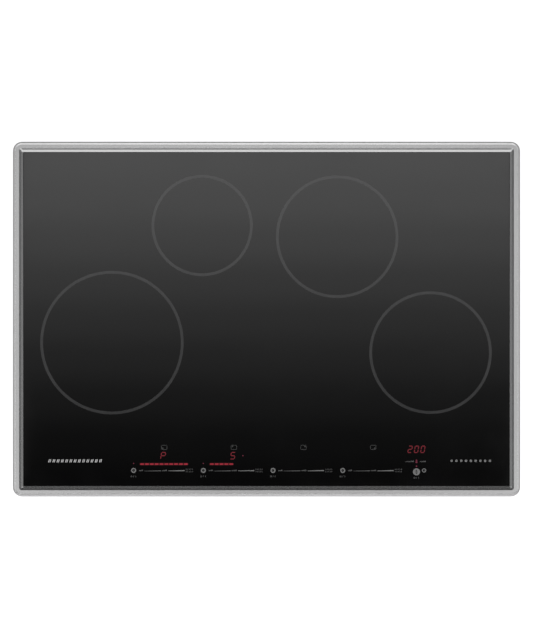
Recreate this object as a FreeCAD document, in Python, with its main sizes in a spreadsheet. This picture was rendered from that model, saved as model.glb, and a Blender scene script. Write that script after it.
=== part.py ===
import FreeCAD, Part
import math
import os
import re
import Sketcher
from FreeCAD import Placement, Rotation, Vector

# Built-in induction cooktop with a stainless surround, in millimetres.
# The origin is the middle of the cut-out, at the worktop's surface.
# +X is to the right, +Y to the back and +Z up.

DIMENSIONS = {
    # stainless surround, from the outer edge inwards
    "hob_width": 762, "hob_depth": 533, "corner_radius": 14,
    "trim_top": 9.4, "trim_foot": 0.3, "trim_roll": 2.4, "trim_skin": 1.2,
    "lip_start": 2.5, "lip_end": 4.4, "band_level": 9.0, "band_width": 9.7,
    "step_inset": 12.4, "step_level": 7.6, "slope_end": 15.6, "slope_level": 6.4,
    # support ring, glass and what joins them
    "ring_outset": 2.2, "ring_end": 32, "ring_level": 0.9, "ring_sheet": 0.8,
    "bond_end": 30, "bond_thick": 0.6, "joint_gap": 0.4,
    "glass_thick": 4.0, "glass_corner": 1.2, "glass_bevel": 0.4,
    "seal_start": 3.5, "seal_end": 13.5,
    # base pan
    "pan_width": 694, "pan_depth": 470, "pan_bottom": -46, "pan_sheet": 0.8,
    "pan_flange": 10, "pan_radius": 6, "foot_radius": 11, "foot_drop": 3,
    "foot_x": 285, "foot_y": 190, "bead_rise": 1.5, "bead_width": 12,
    "inlet_radius": 36, "inlet_slot": 5, "inlet_pitch": 9,
    "vent_width": 3.5, "vent_height": 20, "vent_pitch": 8, "vent_level": -25,
    "case_screw_x": 352, "case_screw_y": 240, "case_hole": 2.1, "tapped_hole": 1.75,
    # mains connection on the rear wall
    "access_width": 120, "access_height": 28, "access_level": -26,
    "cover_width": 142, "cover_height": 38, "cover_sheet": 1.0,
    "bush_x": 105, "bush_level": -30, "bush_bore": 8, "bush_barrel": 10.5,
    "bush_flange": 14.5, "bush_length": 12,
    "block_width": 92, "block_depth": 30, "block_height": 21,
    # electronics on the pan's floor
    "board_level": -40.2, "board_thick": 1.6, "board_front": -165, "board_rear": 85,
    "board_inner": 72, "board_outer": 330, "filter_half": 58,
    "filter_front": -120, "filter_rear": 150,
    "chip_height": 5, "sink_x": 235, "sink_width": 60, "sink_length": 150,
    "sink_base": 3.5, "sink_height": 14, "fin_thick": 1.4, "fin_count": 11,
    # radial fans
    "fan_x": 262, "fan_y": 160, "fan_radius": 54, "fan_height": 26, "fan_wall": 1.6,
    "fan_mouth": 72, "rotor_radius": 42, "blade_length": 9, "blade_height": 16,
    "blade_count": 27, "blade_lean": 35, "shaft_radius": 1.5, "shaft_play": 0.05,
    # coils, trays and springs
    "tray_level": -17.5, "tray_sheet": 1.5, "tray_front": -150, "tray_rear": 225,
    "tray_inner": 8, "tray_outer": 342, "tray_lip": 4,
    "mica_thick": 0.5, "sensor_radius": 5.5,
    "coil_inner": 20, "coil_level": -2.5, "coil_thick": 4, "carrier_floor": 2,
    "ferrite_width": 11, "ferrite_thick": 4,
    "spring_radius": 5, "spring_wire": 0.5, "spring_turns": 5,
    # touch controls behind the front edge of the glass
    "touch_left": -222, "touch_right": 262, "touch_front": -233, "touch_rear": -184,
    "touch_floor": -8.1, "touch_rim": 7.1, "touch_wall": 1.5,
    "key_left": -199.5, "key_pitch": 104.65, "key_row": -227.2,
    "lamp_row": -217.7, "digit_row": -205.1, "digit_offset": 44.3,
    "timer_x": 225.2, "timer_row": -195.5,
    "ribbon_thick": 0.8, "ribbon_fall": -172, "ribbon_landing": -152,
    # swing-out worktop clamps on the side walls
    "clamp_y": 120, "clamp_axis": 7, "clamp_rod": 2.5, "clamp_play": 0.06,
    "claw_reach": 24, "claw_thick": 4, "claw_level": -38.2, "nut_height": 5,
    "lug_low": -45, "lug_high": -5.5, "lug_thick": 1.5, "lug_width": 16,
}

# centre x, centre y, radius of the winding's outer edge, number of ferrite bars
COILS = {
    "front_left": (-232.1, -35.3, 100, 9),
    "rear_left": (-96.6, 140.5, 68, 6),
    "rear_right": (106.1, 123.7, 84, 9),
    "front_right": (246.3, -50.3, 84, 9),
}
SIDES = {"left": -1, "right": 1}
CLAMPS = {  # side and end of each clamp
    "front_left": (-1, -1), "rear_left": (-1, 1),
    "front_right": (1, -1), "rear_right": (1, 1),
}

doc = FreeCAD.newDocument("InductionCooktop")
sheet = doc.addObject("Spreadsheet::Sheet", "Dims")
for row, (alias, value) in enumerate(DIMENSIONS.items(), start=1):
    sheet.set(f"A{row}", alias)
    sheet.set(f"B{row}", str(value))
    sheet.setAlias(f"B{row}", alias)
doc.recompute()

GLASS_LOW = "(ring_level + ring_sheet + bond_thick)"
GLASS_TOP = "(ring_level + ring_sheet + bond_thick + glass_thick)"
FLOOR = "(pan_bottom + pan_sheet)"
BOARD_TOP = "(board_level + board_thick)"
TRAY_TOP = "(tray_level + tray_sheet)"
CARRIER_LOW = "(coil_level - carrier_floor)"
TOUCH_FACE = "(touch_floor + touch_wall + board_thick)"


def on_sheet(formula):
    """A formula in plain dimension names, as an expression that reads the sheet."""
    def name(word):
        return "Dims." + word[0] if word[0] in DIMENSIONS else word[0]

    return re.sub(r"[a-z_]\w*", name, str(formula))


def size(formula):
    """The number that a formula stands for."""
    return float(sheet.evalExpression(on_sheet(formula)))


def bind(thing, formulas):
    """Ties each property to its formula."""
    for name, formula in formulas.items():
        thing.setExpression(name, on_sheet(formula))


def new_body(label):
    """An empty body that becomes the sub-part of that name."""
    body = doc.addObject("PartDesign::Body", label)
    body.Label = label
    return body


def origin_of(body, role):
    return next(o for o in body.Origin.OriginFeatures if o.Role == role)


def new_sketch(body, offset="0", plane="XY_Plane"):
    """An empty sketch on one of the body's own planes, moved along the plane's normal by offset."""
    sketch = body.newObject("Sketcher::SketchObject", "Outline")
    sketch.AttachmentSupport = [(origin_of(body, plane), "")]
    sketch.MapMode = "FlatFace"
    bind(sketch, {"AttachmentOffset.Base.z": offset})
    return sketch


def hold(sketch, shape_rules, places):
    """Adds the rules of an outline's shape, and holds points of it at signed distances from the origin.

    Each place is a kind of distance, a geometry, one of its points and the formula for the distance."""
    pinned = []
    for kind, geometry, point, formula in places:
        if kind == "Radius":
            pinned.append(Sketcher.Constraint(kind, geometry, size(formula)))
        else:
            pinned.append(Sketcher.Constraint(kind, -1, 1, geometry, point, size(formula)))
    made = sketch.addConstraint(shape_rules + pinned)
    for index, (_, _, _, formula) in zip(made[len(shape_rules):], places):
        sketch.setExpression(f"Constraints[{index}]", on_sheet(formula))


def polygon(sketch, corners):
    """A closed outline through corners given as pairs of formulas."""
    at = [Vector(size(x), size(y), 0) for x, y in corners]
    lines = [Part.LineSegment(a, b) for a, b in zip(at, at[1:] + at[:1])]
    first = sketch.addGeometry(lines)[0]
    rules, places = [], []
    for k, (x, y) in enumerate(corners):
        following = first + (k + 1) % len(corners)
        rules.append(Sketcher.Constraint("Coincident", first + k, 2, following, 1))
        places += [("DistanceX", first + k, 1, x), ("DistanceY", first + k, 1, y)]
    hold(sketch, rules, places)


def rectangle(sketch, left, low, right, high):
    """A sharp-cornered rectangle between two opposite corners."""
    polygon(sketch, [(left, low), (right, low), (right, high), (left, high)])


def rounded(sketch, left, low, right, high, radius):
    """A rectangle with rounded corners."""
    x1, y1, x2, y2, r = (size(f) for f in (left, low, right, high, radius))
    corners = [(x2 - r, y1 + r, -90), (x2 - r, y2 - r, 0), (x1 + r, y2 - r, 90), (x1 + r, y1 + r, 180)]
    sides = [((x1 + r, y1), (x2 - r, y1)), ((x2, y1 + r), (x2, y2 - r)),
             ((x2 - r, y2), (x1 + r, y2)), ((x1, y2 - r), (x1, y1 + r))]
    shapes = []
    for (start, end), (cx, cy, angle) in zip(sides, corners):
        shapes.append(Part.LineSegment(Vector(*start, 0), Vector(*end, 0)))
        turn = Part.Circle(Vector(cx, cy, 0), Vector(0, 0, 1), r)
        shapes.append(Part.ArcOfCircle(turn, math.radians(angle), math.radians(angle + 90)))
    first = sketch.addGeometry(shapes)[0]
    rules = []
    for k in range(4):
        line, arc, following = first + 2 * k, first + 2 * k + 1, first + (2 * k + 2) % 8
        rules.append(Sketcher.Constraint("Tangent", line, 2, arc, 1))
        rules.append(Sketcher.Constraint("Tangent", arc, 2, following, 1))
        rules.append(Sketcher.Constraint(("Horizontal", "Vertical")[k % 2], line))
        if k:
            rules.append(Sketcher.Constraint("Equal", first + 1, arc))
    hold(sketch, rules, [("DistanceY", first, 1, low), ("DistanceX", first + 2, 1, right),
                         ("DistanceY", first + 4, 1, high), ("DistanceX", first + 6, 1, left),
                         ("Radius", first + 1, 0, radius)])


def circle(sketch, x, y, radius):
    made = sketch.addGeometry(Part.Circle(Vector(size(x), size(y), 0), Vector(0, 0, 1), size(radius)))
    hold(sketch, [], [("DistanceX", made, 3, x), ("DistanceY", made, 3, y), ("Radius", made, 0, radius)])


def inset(sketch, distance, radius="0"):
    """The surround's outline moved inwards by distance, with corners of that radius."""
    right, high = f"(hob_width / 2 - ({distance}))", f"(hob_depth / 2 - ({distance}))"
    if radius == "0":
        rectangle(sketch, "-" + right, "-" + high, right, high)
    else:
        rounded(sketch, "-" + right, "-" + high, right, high, radius)


def pad(body, sketch, length, down=False):
    """Adds the outline's prism, upwards unless down is set."""
    made = body.newObject("PartDesign::Pad", "Pad")
    made.Profile = sketch
    made.Reversed = down
    bind(made, {"Length": length})
    doc.recompute()
    return made


def pocket(body, sketch, depth, forward=False):
    """Cuts the outline's prism against the plane's normal, or along it if forward is set."""
    made = body.newObject("PartDesign::Pocket", "Pocket")
    made.Profile = sketch
    made.Reversed = forward
    bind(made, {"Length": depth})
    doc.recompute()
    return made


def revolve(body, sketch):
    """Turns an outline full circle about its own vertical axis."""
    made = body.newObject("PartDesign::Revolution", "Revolution")
    made.Profile = sketch
    made.ReferenceAxis = (sketch, ["V_Axis"])
    made.Angle = 360
    doc.recompute()
    return made


def row_of(body, feature, axis, length, count):
    """Repeats a feature along one of the body's axes."""
    made = body.newObject("PartDesign::LinearPattern", "Row")
    made.Originals = [feature]
    made.Direction = (origin_of(body, axis), [""])
    bind(made, {"Length": length, "Occurrences": count})
    body.Tip = made
    doc.recompute()
    return made


def ring_of(body, feature, count):
    """Repeats a feature round the body's Z axis."""
    made = body.newObject("PartDesign::PolarPattern", "Ring")
    made.Originals = [feature]
    made.Axis = (origin_of(body, "Z_Axis"), [""])
    made.Angle = 360
    bind(made, {"Occurrences": count})
    body.Tip = made
    doc.recompute()
    return made


def edges_where(feature, test):
    """Names of the edges whose two ends and middle all pass the test."""
    names = []
    for k, edge in enumerate(feature.Shape.Edges, start=1):
        middle = edge.valueAt((edge.FirstParameter + edge.LastParameter) / 2)
        if all(test(p) for p in [v.Point for v in edge.Vertexes] + [middle]):
            names.append(f"Edge{k}")
    return names


def round_off(body, feature, kind, test, amount):
    """Fillets or chamfers the edges that pass the test."""
    made = body.newObject(f"PartDesign::{kind}", kind)
    made.Base = (feature, edges_where(feature, test))
    bind(made, {"Radius" if kind == "Fillet" else "Size": amount})
    doc.recompute()
    return made


def place(thing, x="0", y="0", z="0", turn=0):
    """Puts a finished piece where it belongs, turned about Z by so many degrees."""
    thing.Placement = Placement(Vector(), Rotation(Vector(0, 0, 1), turn))
    bind(thing, {"Placement.Base.x": x, "Placement.Base.y": y, "Placement.Base.z": z})


def copies(label, shape, places):
    """One sub-part made of separate copies of a solid, for fasteners and other repeated pieces."""
    made = doc.addObject("Part::Feature", label)
    made.Label = label
    made.Shape = Part.makeCompound([shape.transformed(p.toMatrix()) for p in places])
    return made


# ---- surround, glass and seal ----

def trim_frame():
    """One-piece stainless surround: rolled edge, low lip, flat band and two slopes down to the glass."""
    body = new_body("trim_frame")
    outer = new_sketch(body, "trim_foot")
    inset(outer, "0", "corner_radius")
    block = pad(body, outer, "trim_top - trim_foot")
    top = size("trim_top")
    round_off(body, block, "Fillet", lambda p: abs(p.z - top) < 1e-6, "trim_roll")
    opening = new_sketch(body, "trim_top")
    inset(opening, "slope_end")
    pocket(body, opening, "trim_top - trim_foot")
    lip = [("trim_top", "lip_start", "corner_radius - lip_start"),
           ("band_level", "lip_end", "corner_radius - lip_end")]
    fold = [("band_level", "band_width", "4"), ("step_level", "step_inset", "2.4")]
    slope = [("step_level", "step_inset", "2.4"), ("slope_level", "slope_end", "0.4")]
    for levels in (lip, fold, slope):
        rims = []
        for level, distance, radius in levels:
            rim = new_sketch(body, level)
            inset(rim, distance, radius)
            rims.append(rim)
        sunk = body.newObject("PartDesign::SubtractiveLoft", "Slope")
        sunk.Profile = rims[0]
        sunk.Sections = rims[1:]
        doc.recompute()
    hollows = [("trim_skin", "slope_end - trim_skin", "step_level - 2.6"),
               ("trim_skin + 1.8", "band_width - trim_skin", "band_level - trim_skin")]
    for outer_edge, inner_edge, roof in hollows:
        hollow = new_sketch(body, "trim_foot")
        inset(hollow, outer_edge, f"corner_radius - ({outer_edge})")
        inset(hollow, inner_edge)
        pocket(body, hollow, f"{roof} - trim_foot", forward=True)
    sill = new_sketch(body, "trim_foot")
    inset(sill, "step_inset")
    inset(sill, "slope_end + 1")
    pocket(body, sill, "ring_level + ring_sheet - trim_foot", forward=True)


def case_screw_places():
    """Where the screws that join the pan's flange to the support ring stand, as pairs of formulas."""
    long_sides = [(f"{x}", f"{s} * case_screw_y") for s in (-1, 1) for x in (-270, -90, 90, 270)]
    short_sides = [(f"{s} * case_screw_x", f"{y}") for s in (-1, 1) for y in (-175, 0, 175)]
    return long_sides + short_sides


def support_ring():
    body = new_body("support_ring")
    ring = new_sketch(body, "ring_level")
    inset(ring, "ring_outset", "corner_radius - ring_outset")
    inset(ring, "ring_end", "4")
    pad(body, ring, "ring_sheet")
    holes = new_sketch(body, "ring_level + ring_sheet")
    for x, y in case_screw_places():
        circle(holes, x, y, "tapped_hole")
    pocket(body, holes, "ring_sheet")


def ceramic_glass():
    body = new_body("ceramic_glass")
    plate = new_sketch(body, GLASS_LOW)
    inset(plate, "slope_end + joint_gap", "glass_corner")
    slab = pad(body, plate, "glass_thick")
    top = size(GLASS_TOP)
    round_off(body, slab, "Chamfer", lambda p: abs(p.z - top) < 1e-6, "glass_bevel")


def glass_bond():
    """Silicone bed under the glass's edge and the joint round it."""
    body = new_body("glass_bond")
    bed = new_sketch(body, "ring_level + ring_sheet")
    inset(bed, "slope_end")
    inset(bed, "bond_end")
    pad(body, bed, "bond_thick")
    joint = new_sketch(body, GLASS_LOW)
    inset(joint, "slope_end")
    inset(joint, "slope_end + joint_gap", "glass_corner")
    pad(body, joint, "glass_thick - glass_bevel")


def worktop_seal():
    body = new_body("worktop_seal")
    strip = new_sketch(body, "0")
    inset(strip, "seal_start", "corner_radius - seal_start")
    inset(strip, "seal_end", "2")
    pad(body, strip, "ring_level")


# ---- base pan and mains connection ----

def pan_outline(sketch, margin, radius):
    """The pan's plan, grown by margin."""
    right, high = f"(pan_width / 2 + {margin})", f"(pan_depth / 2 + {margin})"
    rounded(sketch, "-" + right, "-" + high, right, high, radius)


def base_pan():
    """Folded galvanised pan: flange, beads, pressed feet, fan inlets, wall vents and openings."""
    body = new_body("base_pan")
    box = new_sketch(body, "pan_bottom")
    pan_outline(box, "0", "pan_radius")
    pad(body, box, "ring_level - pan_bottom")
    flange = new_sketch(body, "ring_level - pan_sheet")
    pan_outline(flange, "pan_flange", "pan_radius + pan_flange")
    pad(body, flange, "pan_sheet")
    inside = new_sketch(body, "ring_level")
    pan_outline(inside, "(-pan_sheet)", "pan_radius - pan_sheet")
    pocket(body, inside, "ring_level - pan_bottom - pan_sheet")

    feet = new_sketch(body, "pan_bottom")
    dimples = new_sketch(body, FLOOR)
    for x in (-1, 1):
        for y in (-1, 1):
            circle(feet, f"{x} * foot_x", f"{y} * foot_y", "foot_radius")
            circle(dimples, f"{x} * foot_x", f"{y} * foot_y", "foot_radius - pan_sheet")
    pad(body, feet, "foot_drop", down=True)
    pocket(body, dimples, "foot_drop")

    raised = new_sketch(body, FLOOR)
    pressed = new_sketch(body, "pan_bottom")
    beads = [("-200", "-178 - bead_width / 2", "200", "-178 + bead_width / 2")]
    for middle, low_end, high_end in (("0", "-120", "120"), ("-180", "90", "190"), ("180", "90", "190")):
        beads.append((f"{middle} - bead_width / 2", low_end, f"{middle} + bead_width / 2", high_end))
    for left, low, right, high in beads:
        rounded(raised, left, low, right, high, "bead_width / 2 - 0.5")
        rounded(pressed, f"{left} + pan_sheet", f"{low} + pan_sheet", f"{right} - pan_sheet",
                f"{high} - pan_sheet", "bead_width / 2 - 0.5 - pan_sheet")
    pad(body, raised, "bead_rise")
    pocket(body, pressed, "bead_rise", forward=True)

    for side in (-1, 1):
        slots = new_sketch(body, FLOOR)
        for k in range(-3, 4):
            half = f"sqrt(inlet_radius ^ 2 - ({k} * inlet_pitch) ^ 2)"
            middle = f"(fan_y + {k} * inlet_pitch)"
            rounded(slots, f"{side} * fan_x - {half}", f"{middle} - inlet_slot / 2",
                    f"{side} * fan_x + {half}", f"{middle} + inlet_slot / 2", "inlet_slot / 2 - 0.1")
        pocket(body, slots, "pan_sheet")

    low, high = "vent_level - vent_height / 2", "vent_level + vent_height / 2"
    walls = [("pan_depth / 2", False, (-303.5, 132), 22), ("-pan_depth / 2", True, (-319.5, 160), 20)]
    for offset, forward, starts, count in walls:
        for start in starts:
            slot = new_sketch(body, offset, "XZ_Plane")
            rounded(slot, f"{start}", low, f"{start} + vent_width", high, "vent_width / 2 - 0.1")
            cut = pocket(body, slot, "pan_sheet", forward=forward)
            row_of(body, cut, "X_Axis", f"vent_pitch * {count - 1}", f"{count}")

    rear = new_sketch(body, "-pan_depth / 2", "XZ_Plane")
    rounded(rear, "-access_width / 2", "access_level - access_height / 2", "access_width / 2",
            "access_level + access_height / 2", "3")
    circle(rear, "bush_x", "bush_level", "bush_barrel + 0.05")
    for x, z in cover_screw_places():
        circle(rear, x, z, "tapped_hole")
    pocket(body, rear, "pan_sheet", forward=True)

    holes = new_sketch(body, "ring_level")
    for x, y in case_screw_places():
        circle(holes, x, y, "case_hole")
    pocket(body, holes, "pan_sheet")


def cover_screw_places():
    """Corners of the mains cover, as pairs of formulas for x and z."""
    return [(f"{x} * (cover_width / 2 - 5)", f"access_level + {z} * (cover_height / 2 - 5)")
            for x in (-1, 1) for z in (-1, 1)]


def terminal_cover():
    body = new_body("terminal_cover")
    plate = new_sketch(body, "-pan_depth / 2", "XZ_Plane")
    rounded(plate, "-cover_width / 2", "access_level - cover_height / 2", "cover_width / 2",
            "access_level + cover_height / 2", "4")
    for x, z in cover_screw_places():
        circle(plate, x, z, "case_hole")
    pad(body, plate, "cover_sheet", down=True)
    grip = new_sketch(body, "-pan_depth / 2 - cover_sheet", "XZ_Plane")
    rounded(grip, "22 - cover_width / 2", "access_level - 8",
            "cover_width / 2 - 22", "access_level + 8", "4")
    raised = pad(body, grip, "1.2", down=True)
    back = size("pan_depth / 2 + cover_sheet + 1.2")
    round_off(body, raised, "Chamfer", lambda p: abs(p.y - back) < 1e-6, "0.8")


def cable_inlet_bush():
    """Flanged bush in the rear wall for the supply cable, with a lock ring inside."""
    body = new_body("cable_inlet_bush")
    half = new_sketch(body, "0")
    reach = "bush_length - 3"
    polygon(half, [("bush_bore", f"-({reach})"), ("bush_barrel", f"-({reach})"), ("bush_barrel", "0"),
                   ("bush_flange", "0"), ("bush_flange", "1.8"), ("bush_flange - 1.2", "3"),
                   ("bush_bore", "3")])
    revolve(body, half)
    place(body, "bush_x", "pan_depth / 2", "bush_level")


def terminal_block():
    """Six-way screw terminal for the supply, standing on the pan's floor behind the mains cover."""
    body = new_body("terminal_block")
    low = FLOOR
    base = new_sketch(body, low)
    rounded(base, "-block_width / 2", "-block_depth / 2", "block_width / 2", "block_depth / 2", "2")
    pad(body, base, "block_height")
    ways = new_sketch(body, f"{low} + block_height")
    rectangle(ways, "4 - block_width / 2", "7 - block_depth / 2",
              "15 - block_width / 2", "block_depth / 2 + 1")
    well = pocket(body, ways, "12")
    row_of(body, well, "X_Axis", "73", "6")
    place(body, "0", "pan_depth / 2 - 25", "0")


# ---- electronics ----

def circuit_boards():
    body = new_body("filter_board")
    outline = new_sketch(body, "board_level")
    rounded(outline, "-filter_half", "filter_front", "filter_half", "filter_rear", "2")
    pad(body, outline, "board_thick")
    for name, side in SIDES.items():
        body = new_body(f"power_board_{name}")
        outline = new_sketch(body, "board_level")
        edges = ("board_inner", "board_outer") if side > 0 else ("-board_outer", "-board_inner")
        rounded(outline, edges[0], "board_front", edges[1], "board_rear", "3")
        pad(body, outline, "board_thick")


def heat_sinks():
    """Finned extrusions, each across the mouth of its fan."""
    for name, side in SIDES.items():
        body = new_body(f"heat_sink_{name}")
        base = new_sketch(body, f"{BOARD_TOP} + chip_height")
        rectangle(base, "-sink_width / 2", "-sink_length / 2", "sink_width / 2", "sink_length / 2")
        pad(body, base, "sink_base")
        edge = new_sketch(body, f"{BOARD_TOP} + chip_height + sink_base")
        rectangle(edge, "-sink_width / 2", "-sink_length / 2",
                  "fin_thick - sink_width / 2", "sink_length / 2")
        fin = pad(body, edge, "sink_height - sink_base")
        row_of(body, fin, "X_Axis", "sink_width - fin_thick", "fin_count")
        place(body, f"{side} * sink_x", "0", "0")


def board_parts():
    """Power transistors, capacitors and mains chokes, each a group on the boards."""
    body = new_body("power_transistors")
    feet = new_sketch(body, BOARD_TOP)
    for side in (-1, 1):
        for y in (-52, -8, 36):
            rectangle(feet, f"{side} * sink_x - 10", f"{y}", f"{side} * sink_x + 10", f"{y} + 16")
    pad(body, feet, "chip_height")

    body = new_body("board_capacitors")
    films = new_sketch(body, BOARD_TOP)
    cans = new_sketch(body, BOARD_TOP)
    for side in (-1, 1):
        for y in (-150, -118, -20, 12):
            rounded(films, f"{side} * 130 - 16", f"{y}", f"{side} * 130 + 16", f"{y} + 18", "1")
        for x, y in ((180, -60), (180, -30), (95, 60)):
            circle(cans, f"{side * x}", f"{y}", "9")
    for y in (-100, 60):
        rounded(films, "-20", f"{y}", "20", f"{y} + 22", "1")
    pad(body, films, "15")
    pad(body, cans, "18")

    chokes = []
    for name, x in (("first_choke", -26), ("second_choke", 26)):
        choke = doc.addObject("Part::Torus", name)
        bind(choke, {"Radius1": "14", "Radius2": "6", "Placement.Base.x": f"{x}",
                     "Placement.Base.y": "10", "Placement.Base.z": f"{BOARD_TOP} + 6.1"})
        chokes.append(choke)
    group = doc.addObject("Part::Compound", "filter_chokes")
    group.Label = "filter_chokes"
    group.Links = chokes
    doc.recompute()


def standoffs():
    """Posts that carry the coil trays and the circuit boards, all standing on the pan's floor."""
    body = new_body("standoffs")
    tall = new_sketch(body, FLOOR)
    for side in (-1, 1):
        for x, y in ((338, -140), (338, 72), (332, 219), (65, -140), (65, 76), (65, 216)):
            circle(tall, f"{side * x}", f"{y}", "3.6")
    pad(body, tall, f"tray_level - {FLOOR}")
    short = new_sketch(body, FLOOR)
    for side in (-1, 1):
        for x in ("board_inner + 8", "board_outer - 8"):
            for y in ("board_front + 8", "board_rear - 8"):
                circle(short, f"{side} * ({x})", y, "4")
        for y in ("filter_front + 8", "filter_rear - 8"):
            circle(short, f"{side} * (filter_half - 8)", y, "4")
    pad(body, short, f"board_level - {FLOOR}")


# ---- fans ----

def fan_housings():
    """Snail housings: a round chamber, open at the pan's slots, with a mouth that blows forward."""
    for name, side in SIDES.items():
        body = new_body(f"fan_housing_{name}")
        for outline_edge, depth in (("0", None), ("fan_wall", "fan_height - fan_wall")):
            chamber = new_sketch(body, FLOOR)
            circle(chamber, "0", "0", f"fan_radius - {outline_edge}")
            mouth = new_sketch(body, FLOOR)
            near, far = outline_edge, f"fan_radius - {outline_edge}"
            x1, x2 = (near, far) if side < 0 else ("-(" + far + ")", "-(" + near + ")")
            front = "-fan_mouth" if depth is None else "-fan_mouth - 1"
            rectangle(mouth, x1, front, x2, "-fan_wall" if depth else "0")
            for sketch in (chamber, mouth):
                if depth is None:
                    pad(body, sketch, "fan_height")
                else:
                    pocket(body, sketch, depth, forward=True)
        place(body, f"{side} * fan_x", "fan_y", "0")


def fan_motors():
    """Outer-rotor motor cores: a plate under each housing's roof, a wound core and the fixed spindle."""
    roof = size(f"{FLOOR} + fan_height - fan_wall")
    body = new_body("motor_core")
    for radius, top, length in (("17", "0", "1.6"), ("10.5", "1.6", "8"), ("shaft_radius", "9.6", "7")):
        step = new_sketch(body, f"-({top})")
        circle(step, "0", "0", radius)
        pad(body, step, length, down=True)
    core = body.Shape.copy()
    places = [Placement(Vector(s * size("fan_x"), size("fan_y"), roof), Rotation()) for s in (-1, 1)]
    copies("fan_motors", core, places)
    return body


def fan_rotors():
    """Impellers: a cup round the motor core, a web, forward-leaning blades and a shroud ring."""
    web = f"({FLOOR} + fan_height - fan_wall - 5)"
    for name, side in SIDES.items():
        body = new_body(f"fan_rotor_{name}")
        disc = new_sketch(body, f"{web} - 1.2")
        circle(disc, "0", "0", "rotor_radius")
        pad(body, disc, "1.2")
        cup = new_sketch(body, f"{web} - 9.5")
        circle(cup, "0", "0", "13")
        pad(body, cup, "9.5")
        room = new_sketch(body, web)
        circle(room, "0", "0", "11.2")
        pocket(body, room, "7")
        bore = new_sketch(body, f"{web} - 7")
        circle(bore, "0", "0", "shaft_radius + shaft_play")
        pocket(body, bore, "2.5")
        blade = new_sketch(body, f"{web} - 1.2")
        blade.AttachmentOffset = Placement(Vector(), Rotation(Vector(0, 0, 1), 0))
        bind(blade, {"AttachmentOffset.Base.x": "rotor_radius - blade_length + 1.2",
                     "AttachmentOffset.Base.z": f"{web} - 1.2",
                     "AttachmentOffset.Rotation.Angle": f"{side} * blade_lean"})
        rectangle(blade, "0", "-0.5", "blade_length - 0.6", "0.5")
        vane = pad(body, blade, "blade_height", down=True)
        ring_of(body, vane, "blade_count")
        shroud = new_sketch(body, f"{web} - 1.2 - blade_height")
        circle(shroud, "0", "0", "rotor_radius")
        circle(shroud, "0", "0", "rotor_radius - blade_length + 1")
        pad(body, shroud, "1.2")
        place(body, f"{side} * fan_x", "fan_y", "0")


# ---- coils ----

def coil_trays():
    """Aluminium trays with lips folded down, and a slotted field for air under each coil."""
    for name, side in SIDES.items():
        body = new_body(f"coil_tray_{name}")
        edges = ("tray_inner", "tray_outer") if side > 0 else ("-tray_outer", "-tray_inner")
        sheet_outline = new_sketch(body, "tray_level")
        rounded(sheet_outline, edges[0], "tray_front", edges[1], "tray_rear", "4")
        pad(body, sheet_outline, "tray_sheet")
        lip = new_sketch(body, "tray_level")
        for y1, y2 in (("tray_front", "tray_front + tray_sheet"), ("tray_rear - tray_sheet", "tray_rear")):
            rectangle(lip, f"{edges[0]} + 20", y1, f"{edges[1]} - 20", y2)
        pad(body, lip, "tray_lip", down=True)
        windows = new_sketch(body, TRAY_TOP)
        for x, y, outer, bars in COILS.values():
            if x * side > 0:
                for turn in range(3):
                    angle = math.radians(180 / bars + 60 + 120 * turn)
                    reach = 0.5 * outer
                    cx, cy = x + reach * math.cos(angle), y + reach * math.sin(angle)
                    circle(windows, f"{cx:.2f}", f"{cy:.2f}", f"{0.15 * outer:.1f}")
        pocket(body, windows, "tray_sheet")


def spring_spots(bars, outer):
    """Places of a coil's three springs about its centre, each midway between two ferrite bars."""
    angles = [math.radians(180 / bars + 120 * k) for k in range(3)]
    return [Vector(0.72 * outer * math.cos(a), 0.72 * outer * math.sin(a), 0) for a in angles]


def coils():
    """For each zone: a moulded carrier, the flat winding in it and the ferrite bars beneath."""
    for name, (x, y, outer, bars) in COILS.items():
        body = new_body(f"coil_carrier_{name}")
        floor = new_sketch(body, CARRIER_LOW)
        circle(floor, "0", "0", f"{outer}")
        circle(floor, "0", "0", "sensor_radius + 1.5")
        pad(body, floor, "carrier_floor")
        rims = new_sketch(body, "coil_level")
        circle(rims, "0", "0", f"{outer}")
        circle(rims, "0", "0", f"{outer} - 1.6")
        pad(body, rims, "coil_thick - 0.6")
        hub = new_sketch(body, "coil_level")
        circle(hub, "0", "0", "sensor_radius + 3.5")
        circle(hub, "0", "0", "sensor_radius + 1.5")
        pad(body, hub, "coil_thick - 0.6")
        seats = new_sketch(body, CARRIER_LOW)
        for spot in spring_spots(bars, outer):
            circle(seats, f"{spot.x:.3f}", f"{spot.y:.3f}", "spring_radius - 1.2")
        pad(body, seats, "2.5", down=True)
        place(body, f"{x}", f"{y}")

        body = new_body(f"coil_winding_{name}")
        turns = new_sketch(body, "coil_level")
        circle(turns, "0", "0", f"{outer} - 2")
        circle(turns, "0", "0", "coil_inner")
        flat = pad(body, turns, "coil_thick")
        top = size("coil_level + coil_thick")
        round_off(body, flat, "Fillet", lambda p: abs(p.z - top) < 1e-6, "1.2")
        place(body, f"{x}", f"{y}")

        body = new_body(f"coil_ferrites_{name}")
        bar = new_sketch(body, CARRIER_LOW)
        rectangle(bar, "coil_inner + 4", "-ferrite_width / 2", f"{outer} - 5", "ferrite_width / 2")
        ring_of(body, pad(body, bar, "ferrite_thick", down=True), f"{bars}")
        place(body, f"{x}", f"{y}")


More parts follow.
